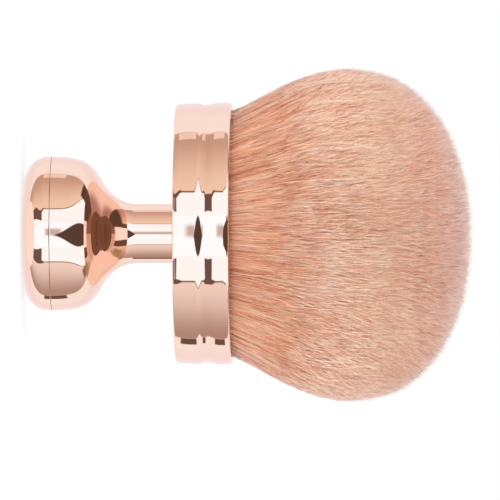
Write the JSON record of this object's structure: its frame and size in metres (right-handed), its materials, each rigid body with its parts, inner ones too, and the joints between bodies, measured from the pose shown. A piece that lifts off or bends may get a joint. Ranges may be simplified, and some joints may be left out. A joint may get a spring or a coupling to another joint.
{
  "type": "body makeup brush",
  "caption": "Short, wide body makeup brush: a weighted, mirror-plated knob handle, a waisted ring ferrule and a dense domed head of soft fanned bristles.",
  "frame": {"origin": "centre of the knob's flat foot, on the plane that the brush stands on", "axes": "+Z along the brush's axis from the foot to the tip of the bristles; +X and +Y are alike, because the brush is round"},
  "size_m": [0.0708, 0.0708, 0.0955],
  "materials": {
    "plated_knob": "polished",
    "plated_ferrule": "polished",
    "steel": "satin",
    "brass": "satin",
    "foam": "matte",
    "moulding": "matte",
    "epoxy": "gloss",
    "thread": "matte",
    "bristle": "matte"
  },
  "bodies": {
    "root": {"knob_cap": "plated_knob", "knob_shell": "plated_knob", "damper_pad": "foam", "weight_ring": "steel", "flat_washer": "steel", "lock_washer": "steel", "assembly_screw": "steel", "ferrule_shell": "plated_ferrule", "bristle_cup": "moulding", "threaded_insert": "brass", "glue_plug": "epoxy", "root_binding": "thread", "bristle_bundle": "bristle"}
  },
  "joints": []
}
